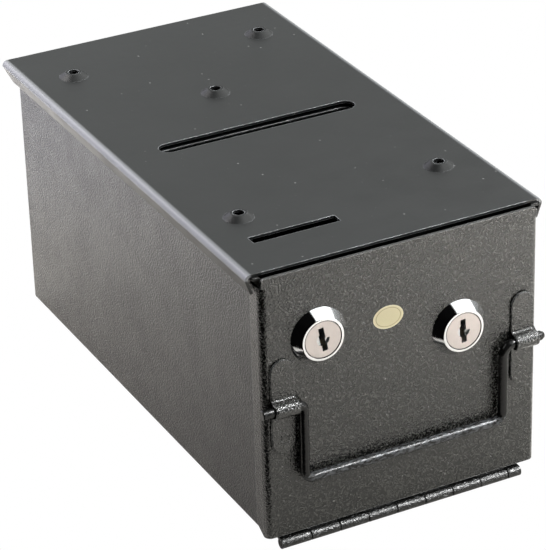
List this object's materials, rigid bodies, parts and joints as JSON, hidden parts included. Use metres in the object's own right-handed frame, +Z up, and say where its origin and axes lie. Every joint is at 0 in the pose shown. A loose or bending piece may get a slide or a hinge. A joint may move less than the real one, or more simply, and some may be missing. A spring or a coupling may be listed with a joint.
{
  "type": "lockable drop box with hinged end door",
  "caption": "Sheet steel drop box with a note slot in the lid, hooked side rails, a bottom-hinged end door, two cam locks and a wire bail handle.",
  "frame": {"origin": "centre of the box's flat underside", "axes": "+Z up, the hinged door faces -Y, +X to the right seen from the door"},
  "size_m": [0.1294, 0.2408, 0.1227],
  "materials": {
    "hammertone_black": "fine hammertone texture, semi-gloss",
    "satin_black": "smooth satin paint",
    "inner_black": "plain paint",
    "hinge_black": "painted over, edges worn bright",
    "gloss_black": "semi-gloss paint on wire",
    "chrome": "polished",
    "satin_nickel": "satin nickel",
    "zinc_steel": "bright zinc",
    "brass": "plain",
    "cream_sticker": "blank cream sticker with a thin dark oval line"
  },
  "bodies": {
    "box": {"body_shell": "hammertone_black", "rear_panel": "hammertone_black", "lid": "satin_black", "slot_guard": "inner_black", "latch_keeper": "inner_black", "hinge_leaf_body": "hinge_black", "hinge_pin": "zinc_steel"},
    "door": {"door_panel": "hammertone_black", "hinge_leaf_door": "hinge_black", "bail_clip_left": "hammertone_black", "bail_clip_right": "hammertone_black", "left_lock_body": "chrome", "left_lock_nut": "zinc_steel", "right_lock_body": "chrome", "right_lock_nut": "zinc_steel", "door_sticker": "cream_sticker"},
    "left_plug": {"left_lock_plug": "satin_nickel", "left_lock_wafers": "brass", "left_lock_stop_washer": "zinc_steel", "left_lock_cam": "zinc_steel", "left_lock_cam_screw": "zinc_steel"},
    "right_plug": {"right_lock_plug": "satin_nickel", "right_lock_wafers": "brass", "right_lock_stop_washer": "zinc_steel", "right_lock_cam": "zinc_steel", "right_lock_cam_screw": "zinc_steel"},
    "bail": {"bail_handle": "gloss_black"}
  },
  "joints": [
    {"name": "door_hinge", "type": "hinge", "parent": "box", "child": "door", "pos_m": [0, -0.1162, -0.0022], "axis": [1, 0, 0], "range_deg": [0, 180]},
    {"name": "left_lock_turn", "type": "hinge", "parent": "door", "child": "left_plug", "pos_m": [-0.0366, -0.1162, 0.0854], "axis": [0, -1, 0], "range_deg": [0, 180]},
    {"name": "right_lock_turn", "type": "hinge", "parent": "door", "child": "right_plug", "pos_m": [0.0249, -0.1162, 0.0718], "axis": [0, -1, 0], "range_deg": [0, 90]},
    {"name": "bail_swing", "type": "hinge", "parent": "door", "child": "bail", "pos_m": [0, -0.119, 0.0592], "axis": [-1, 0, 0], "range_deg": [0, 165]}
  ]
}
